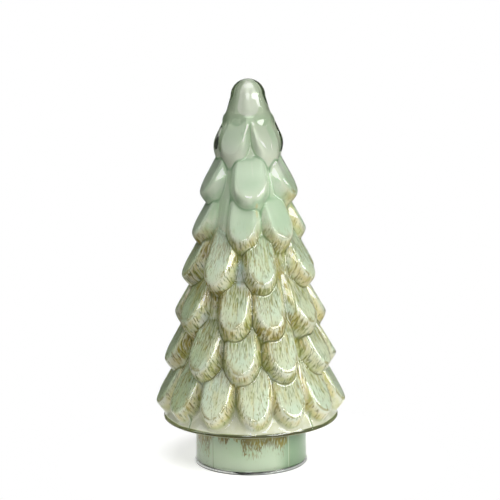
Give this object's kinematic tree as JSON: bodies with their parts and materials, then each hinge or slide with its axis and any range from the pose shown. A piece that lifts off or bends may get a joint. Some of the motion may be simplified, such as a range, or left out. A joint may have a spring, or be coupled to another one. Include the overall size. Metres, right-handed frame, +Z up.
{
  "type": "decorative tree",
  "caption": "Free-standing stylised conifer of blown glass with tiers of rounded overlapping leaves, a domed tip and a short round trunk, coloured on the inside.",
  "frame": {"origin": "centre of the foot, on the surface that the tree stands on", "axes": "+Z up along the tree's axis to its tip, -Y towards the viewer of the front"},
  "size_m": [0.1622, 0.164, 0.33],
  "materials": {
    "clear_green_glass": "glossy",
    "celadon_coat": "satin"
  },
  "bodies": {
    "root": {"glass_body": "clear_green_glass", "colour_coat": "celadon_coat"}
  },
  "joints": []
}
